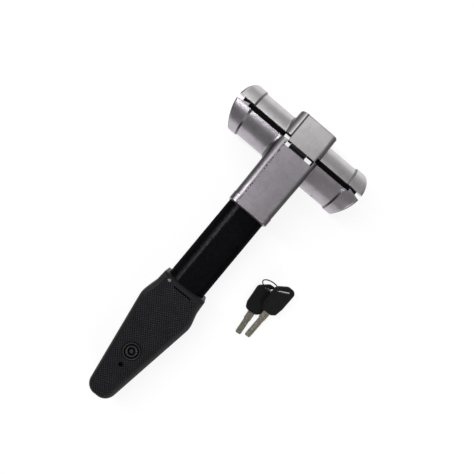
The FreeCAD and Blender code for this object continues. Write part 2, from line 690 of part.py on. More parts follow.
def make_cover_rivet():
    centre = ("-lock_drop + cover_arm", "axis_height")
    shank = rod("rivet_shank", "X", ("case_right - rivet_depth + 0.2", *centre), "rivet_radius",
                "rivet_depth + cover_thick + 0.6")
    head = rod("rivet_head", "X", ("case_right + cover_thick + 0.7", *centre), "2 * rivet_radius", "0.5")
    return fuse("rivet", shank, head)


# ---------------------------------------------------------------- bar

def make_sleeve():
    solid = bar_prism("sleeve_outer", ("-bar_end", "-neck_end"), ("0", 0))
    core = bar_prism("sleeve_inner", ("-2 * bar_end", "0"), ("cover_wall", SIZE["cover_wall"]))
    holes = neck_screw_holes("sleeve_hole", "5", "0", "bar_low + 6")
    return cut("sleeve", solid, core, *holes, grip_pin_hole("sleeve_pin_hole", "pin_radius + 0.05"),
               *back_screw_holes("sleeve_back_hole", "2"))


def make_tube():
    solid = bar_prism("tube_outer", ("-bar_end", "-neck_end"), ("cover_wall", SIZE["cover_wall"]))
    core = bar_prism("tube_inner", ("-2 * bar_end", "0"), tube_inset(0))
    holes = neck_screw_holes("tube_hole", "2.6", "0", "bar_low + 8")
    return cut("tube", solid, core, *holes, grip_pin_hole("tube_pin_hole", "pin_radius + 0.05"),
               *back_screw_holes("tube_back_hole", "1.5"))


def make_neck_screws():
    screws = []
    for i, y in enumerate(SCREW_PLACES, 1):
        head = rod(f"neck_screw_head_{i}", "Z", (0, y, "bar_low + cover_wall - 2.4"), "4.4", "2.4")
        hexagon = hex_socket(f"neck_screw_socket_{i}", (0, y, "bar_low + cover_wall - 2.5"), 1.6, 1.5)
        shank = rod(f"neck_screw_shank_{i}", "Z", (0, y, "bar_low + cover_wall"), "2.45", "12.5")
        screws.append(cut(f"neck_screw_{i}", fuse(f"neck_screw_solid_{i}", head, shank), hexagon))
    return compound("neck_screws", *screws)


def hex_socket(name, start, radius, depth):
    item = doc.addObject("Part::Prism", name)
    item.Polygon = 6
    item.Circumradius = radius
    item.Height = depth
    place(item, *start)
    return item


def make_end_plug():
    inner = bar_prism("end_plug_inner", ("-bar_end", "-bar_end + 9"), tube_inset(SIZE["running"]))
    flange = bar_prism("end_plug_flange", ("-bar_end - 2", "-bar_end"), ("cover_wall", SIZE["cover_wall"]))
    return fuse("end_plug", inner, flange)


# ---------------------------------------------------------------- grip

BACK_SCREWS = ("-grip_top - 18", "-grip_top - 58")


def grip_pin_hole(name, radius):
    return rod(name, "Z", ("-grip_pin_x", "-grip_pin_y", "bar_high - 8"), radius, "20")


def back_screw_holes(name, radius):
    return [rod(f"{name}_{i}", "Z", (0, y, "-1"), radius, "12") for i, y in enumerate(BACK_SCREWS, 1)]


def is_upright(edge):
    return runs_along(edge, "z")


def upright_at(half, y):
    """A test for the upright edges at a corner of the grip's outline."""
    def test(edge):
        centre = edge.BoundBox.Center
        place_fits = abs(abs(centre.x) - SIZE[half]) < 0.01 and abs(centre.y + SIZE[y]) < 0.01
        return is_upright(edge) and place_fits
    return test


def grip_blank(name, low, high, rim):
    """One shell of the grip before it is hollowed; rim is the level of the rounded rim."""
    right = [("grip_top_half", "-grip_top"), ("waist_half", "-waist_y"), ("swell_half", "-swell_y"),
             ("tip_half", "-grip_tip")]
    left = [(f"-{x}", y) for x, y in reversed(right)]
    prism = outline_pad(name + "_prism", right[::-1] + left[::-1], "XY_Plane", low, f"{high} - ({low})")
    rounded = fillet(name + "_rounded", prism, [
        (SIZE["side_round"], upright_at("waist_half", "waist_y")),
        (SIZE["side_round"], upright_at("swell_half", "swell_y")),
        (SIZE["tip_round"], upright_at("tip_half", "grip_tip")),
        (1.5, upright_at("grip_top_half", "grip_top")),
    ])
    top = -SIZE["grip_top"] - 0.5
    return fillet(name + "_rimmed", rounded, [
        (SIZE["rim_round"], lambda edge: at_height(edge, rim) and edge.BoundBox.YMin < top)])


def bar_room(name):
    """The room of the covered bar and its end plug."""
    return bar_prism(name, ("-bar_end - 2.5", "-neck_end"), ("(-0.05)", -0.05))


def tip_room(name, low, high):
    return taper(name, ("-grip_tip + 20", "-bar_end - 8"), both_ways("tip_half - 5"), both_ways("swell_half - 13"),
                 (low, high), (low, high))


def make_grip_front():
    blank = grip_blank("front", "grip_part", "grip_high", SIZE["grip_high"])
    seat = rod("medallion_seat", "Z", (0, "-medallion_y", "grip_high - medallion_thick"),
               "medallion_radius + 0.05", "10")
    hollow = cut("front_hollow", blank, bar_room("front_bar_room"),
                 tip_room("front_tip_room", "grip_part - 1", "grip_high - 5"), seat)
    boss = rod("front_boss", "Z", (0, "-screw_y", "grip_part"), "boss_radius", "grip_high - 4 - grip_part")
    bossed = fuse("front_bossed", hollow, boss)
    recess = rod("front_screw_recess", "Z", (0, "-screw_y", "screw_seat"), "screw_head", "20")
    hole = rod("front_screw_hole", "Z", (0, "-screw_y", "0"), "1.6", "grip_high")
    return cut("grip_front", bossed, recess, hole, grip_pin_hole("front_pin_hole", "pin_radius + 0.05"))


def make_grip_back():
    blank = grip_blank("back", "0", "grip_part", 0.0)
    hollow = cut("back_hollow", blank, bar_room("back_bar_room"),
                 tip_room("back_tip_room", "4", "grip_part + 1"))
    boss = rod("back_boss", "Z", (0, "-screw_y", "3"), "boss_radius", "grip_part - 3")
    bossed = fuse("back_bossed", hollow, boss)
    hole = rod("back_screw_hole", "Z", (0, "-screw_y", "8"), "1.45", "grip_high")
    recesses = [rod(f"back_recess_{i}", "Z", (0, y, "-1"), "3.6", "2.6") for i, y in enumerate(BACK_SCREWS, 1)]
    return cut("grip_back", bossed, hole, *recesses, *back_screw_holes("grip_back_hole", "2"))


def make_grip_screw():
    head = rod("grip_screw_head", "Z", (0, "-screw_y", "screw_seat"), "screw_head - 0.15", "2")
    shank = rod("grip_screw_shank", "Z", (0, "-screw_y", "9"), "1.4", "screw_seat - 9")
    socket = hex_socket("grip_screw_socket", (0, "-screw_y", "screw_seat + 0.7"), 1.1, 2)
    return cut("grip_screw", fuse("grip_screw_solid", head, shank), socket)


def make_back_screws():
    screws = []
    for i, y in enumerate(BACK_SCREWS, 1):
        head = rod(f"back_screw_head_{i}", "Z", (0, y, "0.3"), "3.4", "1.3")
        shank = rod(f"back_screw_shank_{i}", "Z", (0, y, "1.6"), "1.4", "6.5")
        socket = hex_socket(f"back_screw_socket_{i}", (0, y, "0"), 1.2, 1)
        screws.append(cut(f"back_screw_{i}", fuse(f"back_screw_solid_{i}", head, shank), socket))
    return compound("back_screws", *screws)


def make_medallion():
    disc = rod("medallion_disc", "Z", (0, "-medallion_y", "grip_high - medallion_thick"),
               "medallion_radius", "medallion_thick + 0.5")
    return fillet("medallion", disc, [(0.4, lambda edge: at_height(edge, SIZE["grip_high"] + 0.5))])


def make_grip_pin():
    return rod("grip_pin", "Z", ("-grip_pin_x", "-grip_pin_y", "bar_high - 5"), "pin_radius",
               "grip_high + 0.3 - bar_high + 5")


# ---------------------------------------------------------------- keys

def key_blade(name, length):
    """The flat blade: a shoulder, a groove on each face and a bevelled tip."""
    y_tip = f"-({length})"
    x_tip = "blade_half - 1.4"
    points = [("-blade_half", "key_tang"), ("-blade_half", "-9"), ("-blade_half + 0.7", "-9.7"),
              ("-blade_half + 0.7", f"{y_tip} + 1.6"), (f"-({x_tip})", y_tip), (x_tip, y_tip),
              ("blade_half - 0.4", f"{y_tip} + 1.6"), ("blade_half - 0.4", "-9.4"), ("blade_half", "-9"),
              ("blade_half", "key_tang")]
    low = "(key_thick - blade_thick) / 2"
    plate = outline_pad(name + "_plate", points, "XY_Plane", low, "blade_thick")
    top_groove = box(name + "_top_groove", ("0.6", "1.8"), (f"{y_tip} - 1", "-6"),
                     ("key_thick / 2 + blade_thick / 2 - 0.5", "key_thick"))
    back_groove = box(name + "_back_groove", ("-1.8", "-0.6"), (f"{y_tip} - 1", "-6"),
                      ("0", "key_thick / 2 - blade_thick / 2 + 0.5"))
    return cut(name, plate, top_groove, back_groove)


def key_head(name, blade, eye_points):
    """The moulded head: a leaning leaf shape with a slotted eye for the ring."""
    points = [("-4.8", "0"), ("5", "0"), ("key_half - 1.4", "3.2"), ("key_half", "13"),
              ("key_half", "key_head"), ("0", "key_head"), ("-key_half", "key_head - 7.5"),
              ("-key_half", "7"), ("-key_half + 2.2", "1.4")]
    prism = outline_pad(name + "_prism", points, "XY_Plane", "0", "key_thick")
    top = SIZE["key_head"]
    rounded = fillet(name + "_rounded", prism, [
        (5.2, lambda edge: is_upright(edge) and edge.BoundBox.YMin > top - 9),
        (2.4, lambda edge: is_upright(edge) and edge.BoundBox.YMin < 14)])
    edged = fillet(name + "_edged", rounded, [
        (1.2, lambda edge: at_height(edge, 0) or at_height(edge, SIZE["key_thick"]))])
    eye_raw = outline_pad(name + "_eye_raw", eye_points, "XY_Plane", "-1", "key_thick + 2")
    eye = fillet(name + "_eye", eye_raw, [(0.6, is_upright)])
    return cut(name, edged, blade, eye)


def lay(item, x, y, z, turn, pitch):
    """Lay a key on the ground: its blade joint's place, its turn about Z and its pitch."""
    item.Placement = Placement(Vector(x, y, z), Rotation(turn, 0, pitch))
    return item


def make_ring(name, wire):
    ring = doc.addObject("Part::Torus", name)
    bind(ring, "Radius1", "ring_radius")
    bind(ring, "Radius2", wire)
    ring.Placement = Placement(Vector(), Rotation(Vector(1, 0, 0), SIZE["ring_tilt"]))
    lift = SIZE["ring_radius"] * math.sin(math.radians(SIZE["ring_tilt"])) + SIZE["ring_wire"]
    place(ring, "ring_x", "-ring_y", str(round(lift, 4)))
    return ring


def compound(name, *items):
    item = doc.addObject("Part::Compound", name)
    item.Links = list(items)
    return item


def copy_of(name, item):
    """A moved copy that leaves the item where another piece is cut with it."""
    item_copy = doc.addObject("Part::Compound", name)
    item_copy.Links = [item]
    return item_copy


# key: place of the blade's root, turn about Z, pitch (degrees)
KEY_SPOTS = {
    "lower": (72.6, -154.8, 0.6, 6.2, 3.0),
    "upper": (84.3, -143.5, 5.8, 1.6, 11.7),
}

# slots of the heads, in each head's own x and y
LOWER_EYE = [("-3", "29.5"), ("9.2", "29.5"), ("9.2", "33.8"), ("5.4", "33.6"), ("3", "31.2"), ("-3", "31.2")]
UPPER_EYE = [("-7.4", "25.6"), ("-5.6", "24.7"), ("5.4", "30.5"), ("4.6", "32.2")]


# ---------------------------------------------------------------- the lock

node("lower_jaw_casting", make_lower_jaw())
node("upper_jaw_casting", make_upper_jaw())
node("lower_jaw_liner", make_liner("low_liner", -1))
node("upper_jaw_liner", make_liner("up_liner", 1))
node("tongue_front", make_tongue("front_tongue", 1))
node("tongue_back", make_tongue("back_tongue", -1))
node("tongue_cross_pins", make_tongue_pins())

node("lock_case", make_case())
node("lock_case_pin", rod("case_pin", "Z", (*CASE_PIN, "0.6"), "pin_radius", "axis_height + 3"))
node("key_plug", make_plug())
for number, place_x in enumerate(WAFER_PLACES, 1):
    node(f"wafer_{number}", make_wafer(number, place_x))
node("bolt_cam", make_cam())
node("cam_clip", make_clip())
node("bolt_front", make_bolt("front_bolt", 1))
node("bolt_back", make_bolt("back_bolt", -1))
node("bolt_springs_front", make_springs("front_springs", 1))
node("bolt_springs_back", make_springs("back_springs", -1))
node("keyhole_cover", make_cover())
node("keyhole_cover_rivet", make_cover_rivet())

node("bar_tube", make_tube())
node("bar_sleeve", make_sleeve())
node("bar_neck_screws", make_neck_screws())
node("bar_end_plug", make_end_plug())

node("grip_front_shell", make_grip_front())
node("grip_back_shell", make_grip_back())
node("grip_medallion", make_medallion())
node("grip_screw", make_grip_screw())
node("grip_back_screws", make_back_screws())
node("grip_pin", make_grip_pin())

lower_blade = key_blade("lower_blade", "short_blade")
upper_blade = key_blade("upper_blade", "blade_length")
lower_head = key_head("lower_head", lower_blade, LOWER_EYE)
upper_head = key_head("upper_head", upper_blade, UPPER_EYE)
path_of_ring = make_ring("path_of_ring", "ring_wire + 0.45")
for label, item, spot in (("key_lower_blade", lower_blade, "lower"), ("key_upper_blade", upper_blade, "upper")):
    node(label, lay(copy_of(label, item), *KEY_SPOTS[spot]))
for label, item, spot in (("key_lower_head", lower_head, "lower"), ("key_upper_head", upper_head, "upper")):
    node(label, cut(label + "_clear", lay(item, *KEY_SPOTS[spot]), path_of_ring))
node("key_ring", make_ring("ring", "ring_wire"))


# ---------------------------------------------------------------- check and write

doc.recompute()
for item in doc.Objects:
    if "Invalid" in item.State or "Error" in item.State:
        raise SystemExit(f"{item.Name} ({item.Label}) failed: {item.State}")
os.makedirs("parts", exist_ok=True)
for label, item in nodes:
    shape = item.Shape
    if shape.isNull() or not shape.isValid() or not shape.Solids:
        raise SystemExit(f"{label} has no valid solid")
    shape.exportStep(f"parts/{label}.step")
    print(f"{label:24} solids {len(shape.Solids)} volume {shape.Volume:10.1f}")
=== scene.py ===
"""Looks of the steering wheel lock: materials, moulded and grained surfaces, studio and camera."""
import math

import bpy
import numpy as np
from mathutils import Matrix, Vector, kdtree


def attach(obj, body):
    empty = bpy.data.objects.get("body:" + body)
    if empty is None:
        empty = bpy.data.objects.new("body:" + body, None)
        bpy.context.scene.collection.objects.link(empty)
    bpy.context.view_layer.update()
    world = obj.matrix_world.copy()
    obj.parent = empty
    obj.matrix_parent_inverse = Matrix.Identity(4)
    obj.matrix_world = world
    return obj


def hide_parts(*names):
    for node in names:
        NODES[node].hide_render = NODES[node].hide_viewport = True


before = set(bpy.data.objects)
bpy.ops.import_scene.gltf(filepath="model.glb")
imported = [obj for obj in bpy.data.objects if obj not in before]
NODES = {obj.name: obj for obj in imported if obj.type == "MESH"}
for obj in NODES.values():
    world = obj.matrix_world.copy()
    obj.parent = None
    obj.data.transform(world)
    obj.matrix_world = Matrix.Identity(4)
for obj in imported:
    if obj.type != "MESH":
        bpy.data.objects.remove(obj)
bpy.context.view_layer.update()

MM = 0.001


# ---------------------------------------------------------------- meshes

def add_mesh(name, points_mm, faces, smooth=True):
    mesh = bpy.data.meshes.new(name)
    mesh.from_pydata([tuple(p) for p in np.asarray(points_mm) * MM], [], [tuple(f) for f in faces])
    mesh.update()
    item = bpy.data.objects.new(name, mesh)
    bpy.context.scene.collection.objects.link(item)
    for polygon in mesh.polygons:
        polygon.use_smooth = smooth
    return item


def closed_sheet(name, top, bottom, faces):
    """A solid between two matching sheets of points, with walls round every border."""
    count = len(top)
    uses = {}
    for face in faces:
        for a, b in zip(face, face[1:] + face[:1]):
            uses[(a, b)] = True
    walls = [(b, a, a + count, b + count) for a, b in uses if (b, a) not in uses]
    under = [tuple(i + count for i in reversed(face)) for face in faces]
    used = sorted({i for face in faces for i in face})
    remap = {}
    for i in used:
        remap[i] = len(remap)
    for i in used:
        remap[i + count] = len(remap)
    points = np.vstack([top[used], bottom[used]])
    every = [tuple(remap[i] for i in face) for face in list(faces) + under + walls]
    return add_mesh(name, points, every)


def smoothstep(low, high, value):
    t = np.clip((value - low) / (high - low), 0, 1)
    return t * t * (3 - 2 * t)


def triangle_wave(value):
    """0 at whole numbers, 1 half way between them."""
    return 1 - np.abs((value % 1.0) * 2 - 1)


CAST_FRONT = 50.5                    # the castings' front faces lie above this height
KNURL_PITCH = 1.75
KNURL_DEPTH = 0.5
KNURL_LEAN = (0.74, 0.67)            # direction across one family of ridges
SLOT = (1.5, -179.3, 0.6, 10.5)      # groove near the grip's top: middle x, y, half height, half length
MEDALLION = (0.0, -254.1, 9.4)       # x, y, radius
SCREW = (0.0, -270.6, 2.4)


# ---------------------------------------------------------------- materials

class Shader:
    """A small builder of one node material."""

    def __init__(self, name, color, roughness, metallic=0.0, specular=0.5, coat=0.0):
        self.material = bpy.data.materials.new(name)
        self.material.use_nodes = True
        self.tree = self.material.node_tree
        self.surface = self.tree.nodes["Principled BSDF"]
        self.set("Base Color", (*color, 1))
        self.set("Roughness", roughness)
        self.set("Metallic", metallic)
        self.set("Specular IOR Level", specular)
        self.set("Coat Weight", coat)
        coordinates = self.node("ShaderNodeTexCoord").outputs
        self.place, self.normal_place = coordinates["Object"], coordinates["Normal"]

    def set(self, socket, value):
        self.surface.inputs[socket].default_value = value

    def node(self, kind, **inputs):
        item = self.tree.nodes.new(kind)
        for key, value in inputs.items():
            self.feed(item.inputs[key.replace("_", " ")], value)
        return item

    def feed(self, socket, value):
        if isinstance(value, bpy.types.NodeSocket):
            self.tree.links.new(value, socket)
        else:
            socket.default_value = value

    def stretched(self, scale=(1, 1, 1), turn=(0, 0, 0)):
        """The object's own coordinates in millimetres, stretched and turned."""
        item = self.node("ShaderNodeMapping", Vector=self.place)
        item.inputs["Scale"].default_value = [1000 * s for s in scale]
        item.inputs["Rotation"].default_value = turn
        return item.outputs["Vector"]

    def noise(self, size, detail=3.0, roughness=0.55, stretch=(1, 1, 1), turn=(0, 0, 0), distortion=0.0):
        item = self.node("ShaderNodeTexNoise", Vector=self.stretched(stretch, turn), Scale=1 / size,
                         Detail=detail, Roughness=roughness, Distortion=distortion)
        return item.outputs["Fac"]

    def cells(self, size, feature="F1", stretch=(1, 1, 1)):
        item = self.node("ShaderNodeTexVoronoi", Vector=self.stretched(stretch), Scale=1 / size)
        item.feature = feature
        return item.outputs["Distance"]

    def ramp(self, value, *stops):
        """Piecewise blend of grey levels or colours over (position, value) stops."""
        item = self.node("ShaderNodeValToRGB", Fac=value)
        ramp = item.color_ramp
        while len(ramp.elements) < len(stops):
            ramp.elements.new(0.5)
        for element, (position, level) in zip(ramp.elements, stops):
            element.position = position
            element.color = (level, level, level, 1) if isinstance(level, (int, float)) else (*level, 1)
        return item.outputs["Color"]

    def math(self, operation, a, b=0.0):
        item = self.node("ShaderNodeMath")
        item.operation = operation
        self.feed(item.inputs[0], a)
        self.feed(item.inputs[1], b)
        return item.outputs["Value"]

    def spread(self, value, factor, offset):
        """The value times a factor plus an offset."""
        item = self.node("ShaderNodeMath")
        item.operation = "MULTIPLY_ADD"
        for socket, given in zip(item.inputs, (value, factor, offset)):
            self.feed(socket, given)
        return item.outputs["Value"]

    def mix(self, factor, a, b, blend="MIX"):
        item = self.node("ShaderNodeMix")
        item.data_type = "RGBA"
        item.blend_type = blend
        self.feed(item.inputs["Factor"], factor)
        self.feed(item.inputs[6], a if isinstance(a, bpy.types.NodeSocket) else (*a, 1))
        self.feed(item.inputs[7], b if isinstance(b, bpy.types.NodeSocket) else (*b, 1))
        return item.outputs[2]

    def facing_left(self):
        """1 where the surface faces the object's -X side, -1 where it faces +X."""
        split = self.node("ShaderNodeSeparateXYZ", Vector=self.normal_place)
        return self.math("MULTIPLY", split.outputs["X"], -1.0)

    def sideways(self):
        """0 where the surface faces along the object's Y or Z, 1 where it faces along X."""
        return self.math("ABSOLUTE", self.facing_left())

    def link(self, socket, value):
        self.feed(self.surface.inputs[socket], value)

    def relief(self, *layers, edge=0.0):
        """Bump layers (height, distance in mm, strength) on top of a small rounding of sharp edges."""
        normal = None
        if edge:
            bevel = self.node("ShaderNodeBevel", Radius=edge * MM)
            bevel.samples = 6
            normal = bevel.outputs["Normal"]
        for height, distance, strength in layers:
            bump = self.node("ShaderNodeBump", Height=height, Distance=distance * MM, Strength=strength)
            if normal is not None:
                self.tree.links.new(normal, bump.inputs["Normal"])
            normal = bump.outputs["Normal"]
        self.tree.links.new(normal, self.surface.inputs["Normal"])
        return self.material


def cast_metal(name, light, dark, streaks, line_x, line_slope, dotted):
    """Satin die-cast aluminium: cloudy tone, fine grain, polishing streaks and pits.

    A dark line, whole or dotted, follows the left edge of the front face; the sides
    are darker than the front, a painted shade set by which way the surface faces.
    """
    shader = Shader(name, light, 0.4, metallic=1.0)
    cloud = shader.noise(9.0, 4.0, 0.6, distortion=0.6)
    grain = shader.noise(0.45, 3.0, 0.7)
    polish = shader.noise(0.8, 4.0, 0.7, stretch=streaks)
    pits = shader.cells(1.1)
    tone = shader.mix(shader.ramp(cloud, (0.3, 0.0), (0.7, 1.0)), dark, light)
    tone = shader.mix(0.22, tone, shader.ramp(grain, (0.25, 0.25), (0.75, 0.95)), "OVERLAY")
    tone = shader.mix(0.2, tone, shader.ramp(polish, (0.3, 0.3), (0.7, 0.8)), "OVERLAY")
    split = shader.node("ShaderNodeSeparateXYZ", Vector=shader.stretched())
    from_line = shader.spread(split.outputs["Y"], line_slope, -line_x)
    from_line = shader.math("ABSOLUTE", shader.math("ADD", split.outputs["X"], from_line))
    line = shader.ramp(from_line, (0.72, 1.0), (1.0, 0.0))
    on_front = shader.math("GREATER_THAN", split.outputs["Z"], CAST_FRONT)
    whole = 1 - dotted
    gaps = ((0.5 - 0.5 * whole, 0.0), (0.56 - 0.3 * whole, 1.0))
    broken = shader.ramp(shader.noise(1.7, 2.0, 0.7), *gaps)
    line = shader.math("MULTIPLY", shader.math("MULTIPLY", line, on_front), broken)
    tone = shader.mix(shader.math("MULTIPLY", line, 0.9), tone, (0.05, 0.045, 0.05))
    # painted shade: the base colour darkens where the surface faces along X, towards the sides
    painted_side_shade = shader.ramp(shader.sideways(), (0.18, 1.0), (0.38, 0.4), (0.75, 0.16), (0.97, 0.22))
    tone = shader.mix(1.0, tone, painted_side_shade, "MULTIPLY")
    shader.link("Base Color", tone)
    shader.link("Roughness", shader.spread(polish, 0.16, 0.25))
    pitted = shader.ramp(pits, (0.04, 0.0), (0.14, 1.0))
    return shader.relief((grain, 0.10, 0.35), (polish, 0.06, 0.3), (pitted, 0.05, 0.25), edge=0.55)


def plain_metal(name, color, roughness, streak=(1, 1, 1), tarnish=0.25):
    """Machined or drawn metal with fine lines and slightly darker, tarnished patches."""
    shader = Shader(name, color, roughness, metallic=1.0)
    cloud = shader.noise(2.2, 4.0, 0.65)
    lines = shader.noise(0.35, 3.0, 0.7, stretch=streak)
    darker = tuple(c * (1 - tarnish) for c in color)
    tone = shader.mix(shader.ramp(cloud, (0.35, 0.0), (0.65, 1.0)), darker, color)
    shader.link("Base Color", tone)
    shader.link("Roughness", shader.spread(lines, 0.2, roughness - 0.1))
    return shader.relief((lines, 0.03, 0.4), edge=0.18)


def moulded(name, color, roughness, grain_size=0.35, depth=0.03, mottling=0.35, specular=0.5, edge=0.35):
    """Moulded plastic or rubber with a fine grain and a faintly uneven tone."""
    shader = Shader(name, color, roughness, specular=specular)
    cloud = shader.noise(7.0, 4.0, 0.6)
    grain = shader.noise(grain_size, 2.0, 0.6)
    darker = tuple(c * (1 - mottling) for c in color)
    shader.link("Base Color", shader.mix(cloud, darker, tuple(c * (1 + mottling) for c in color)))
    shader.link("Roughness", shader.spread(cloud, 0.16, roughness - 0.08))
    return shader.relief((grain, depth, 0.6), edge=edge)


def grained_leather():
    """The bar's covering: near black, with a painted highlight: a shinier band on its left shoulder and less
    shine on its sides, set by which way the surface faces.
    """
    shader = Shader("grained_cover", (0.003, 0.0028, 0.0035), 0.4, specular=0.06)
    cells = shader.cells(1.25, "F1")
    fine = shader.noise(0.3, 3.0, 0.7)
    cloud = shader.noise(11.0, 4.0, 0.6)
    pebble_top, crease = (0.0075, 0.0064, 0.0088), (0.0022, 0.002, 0.0027)
    tone = shader.mix(shader.ramp(cells, (0.1, 0.0), (0.8, 1.0)), pebble_top, crease)
    shader.link("Base Color", shader.mix(0.35, tone, shader.ramp(cloud, (0.3, 0.001), (0.7, 0.004))))
    # painted shade: less shine where the surface faces sideways
    flat = shader.ramp(shader.sideways(), (0.25, 0.04), (0.6, 0.005))
    # painted highlight: a shinier band where the surface faces the -X side
    wear_and_sheen = shader.ramp(shader.facing_left(), (0.1, 0.0), (0.22, 0.3), (0.34, 0.12), (0.48, 0.0))
    shader.link("Specular IOR Level", shader.math("ADD", flat, wear_and_sheen))
    shader.link("Roughness", shader.spread(cells, 0.25, 0.32))
    return shader.relief((fine, 0.05, 0.5), (cells, 0.12, 0.35))


def knurled(name):
    """Moulded plastic with dull grooves and slightly polished points; the grooves are painted near black and
    the points lighter, as painted shade and painted highlight.
    """
    shader = Shader(name, (0.006, 0.0056, 0.0075), 0.4, specular=0.25)
    split = shader.node("ShaderNodeSeparateXYZ", Vector=shader.stretched())
    ridge = None
    for sign in (1, -1):
        line = shader.math("ADD", shader.math("MULTIPLY", split.outputs["X"], KNURL_LEAN[0] / KNURL_PITCH),
                           shader.math("MULTIPLY", split.outputs["Y"], sign * KNURL_LEAN[1] / KNURL_PITCH))
        wave = shader.math("PINGPONG", line, 0.5)
        ridge = wave if ridge is None else shader.math("MINIMUM", ridge, wave)
    worn = shader.noise(14.0, 4.0, 0.6)
    # painted highlight: the knurl points are lighter than the shell's plastic, with a random worn tone
    unworn_sheen, wear_and_sheen = (0.034, 0.031, 0.045), (0.066, 0.060, 0.086)
    point = shader.mix(shader.ramp(worn, (0.3, 0.0), (0.7, 1.0)), unworn_sheen, wear_and_sheen)
    # painted shade: the grooves between the points are coloured near black
    tone = shader.mix(shader.ramp(ridge, (0.2, 0.0), (0.42, 1.0)), (0.0004, 0.0004, 0.0005), point)
    off_slot = shader.math("ABSOLUTE", shader.math("ADD", split.outputs["Y"], -SLOT[1]))
    in_slot = shader.math("LESS_THAN", off_slot, SLOT[2])
    off_middle = shader.math("ABSOLUTE", shader.math("ADD", split.outputs["X"], -SLOT[0]))
    in_slot = shader.math("MULTIPLY", in_slot, shader.math("LESS_THAN", off_middle, SLOT[3]))
    # painted shade: the groove near the grip's top is coloured near black and given no shine
    tone = shader.mix(in_slot, tone, (0.0003, 0.0003, 0.0004))
    shader.link("Specular IOR Level", shader.ramp(in_slot, (0.0, 0.25), (1.0, 0.0)))
    shader.link("Base Color", tone)
    shader.link("Roughness", shader.ramp(ridge, (0.1, 0.75), (0.4, 0.34)))
    grain = shader.noise(0.3, 2.0, 0.6)
    return shader.relief((grain, 0.02, 0.5))


def badge_plastic(name):
    """Moulded badge: a dark field with a lighter centre, ring of rays and rim."""
    shader = Shader(name, (0.006, 0.006, 0.007), 0.34, specular=0.35)
    split = shader.node("ShaderNodeSeparateXYZ", Vector=shader.stretched())
    x = split.outputs["X"]
    y = shader.math("ADD", split.outputs["Y"], -MEDALLION[1])
    square = shader.math("ADD", shader.math("MULTIPLY", x, x), shader.math("MULTIPLY", y, y))
    share = shader.math("DIVIDE", shader.math("SQRT", square), MEDALLION[2])
    centre = ((0.0, 0.03), (0.16, 0.035), (0.25, 0.0004), (0.4, 0.001))
    rays = ((0.46, 0.024), (0.58, 0.024), (0.66, 0.0004), (0.78, 0.0004))
    rim = ((0.84, 0.032), (0.9, 0.028), (0.94, 0.0003))
    level = shader.ramp(share, *centre, *rays, *rim)
    shader.link("Base Color", shader.mix(1.0, level, (0.95, 0.92, 1.0), "MULTIPLY"))
    shader.link("Specular IOR Level", shader.ramp(level, (0.001, 0.0), (0.02, 0.45)))
    grain = shader.noise(0.3, 2.0, 0.6)
    return shader.relief((grain, 0.015, 0.6), edge=0.2)


MATERIALS = {
    "upper_cast": cast_metal(
        "upper_cast", (0.60, 0.582, 0.592), (0.50, 0.482, 0.49), (1, 0.08, 1),
        line_x=-14.2, line_slope=0.0, dotted=0.0),
    # painted shade: the lower casting gets a darker copy of the upper casting's aluminium colour
    "lower_cast_shaded": cast_metal(
        "lower_cast_shaded", (0.47, 0.438, 0.475), (0.39, 0.363, 0.394), (0.3, 1, 1),
        line_x=-14.6, line_slope=0.013, dotted=1.0),
    "liner_rubber": moulded("liner_rubber", (0.003, 0.003, 0.0033), 0.72, 0.5, 0.06, specular=0.1),
    "black_steel": plain_metal("black_steel", (0.05, 0.05, 0.055), 0.42),
    "bright_steel": plain_metal("bright_steel", (0.62, 0.61, 0.60), 0.28),
    "lock_brass": plain_metal("lock_brass", (0.70, 0.53, 0.27), 0.32, (1, 0.2, 0.2)),
    "plug_nickel": plain_metal("plug_nickel", (0.60, 0.585, 0.55), 0.24),
    "tube_steel": plain_metal("tube_steel", (0.06, 0.06, 0.065), 0.45, (1, 0.1, 1)),
    "inner_plastic": moulded("inner_plastic", (0.02, 0.02, 0.021), 0.5),
    "grip_plastic": moulded("grip_plastic", (0.0085, 0.0083, 0.0092), 0.5, 0.5, 0.05, specular=0.25),
    "grip_knurl": knurled("grip_knurl"),
    "medallion_plastic": badge_plastic("medallion_plastic"),
    "key_nickel": plain_metal("key_nickel", (0.54, 0.50, 0.41), 0.36, (1, 0.12, 1), 0.55),
    "ring_steel": plain_metal("ring_steel", (0.07, 0.07, 0.072), 0.36),
    "key_plastic": moulded("key_plastic", (0.006, 0.006, 0.006), 0.46, 0.45, 0.05, specular=0.2),
    "grained_cover": grained_leather(),
}

NODE_LOOKS = {
    "lower_jaw_casting": "lower_cast_shaded", "upper_jaw_casting": "upper_cast",
    "lower_jaw_liner": "liner_rubber", "upper_jaw_liner": "liner_rubber",
    "tongue_front": "black_steel", "tongue_back": "black_steel", "tongue_cross_pins": "bright_steel",
    "lock_case": "lock_brass", "lock_case_pin": "bright_steel", "key_plug": "plug_nickel",
    "bolt_cam": "bright_steel", "cam_clip": "bright_steel", "bolt_front": "bright_steel",
    "bolt_back": "bright_steel", "bolt_springs_front": "bright_steel", "bolt_springs_back": "bright_steel",
    "keyhole_cover": "plug_nickel", "keyhole_cover_rivet": "bright_steel",
    "bar_tube": "tube_steel", "bar_sleeve": "grained_cover", "bar_neck_screws": "black_steel",
    "bar_end_plug": "inner_plastic", "grip_front_shell": "grip_plastic", "grip_back_shell": "grip_plastic",
    "grip_medallion": "medallion_plastic", "grip_screw": "black_steel", "grip_back_screws": "black_steel",
    "grip_pin": "bright_steel", "key_lower_blade": "key_nickel", "key_lower_head": "key_plastic",
    "key_upper_blade": "key_nickel", "key_upper_head": "key_plastic", "key_ring": "ring_steel",
}


def paint(item, look):
    item.data.materials.clear()
    item.data.materials.append(MATERIALS[look])


for name, item in NODES.items():
    paint(item, NODE_LOOKS.get(name, "lock_brass"))   # the five wafers are brass too


# ---------------------------------------------------------------- grip outline

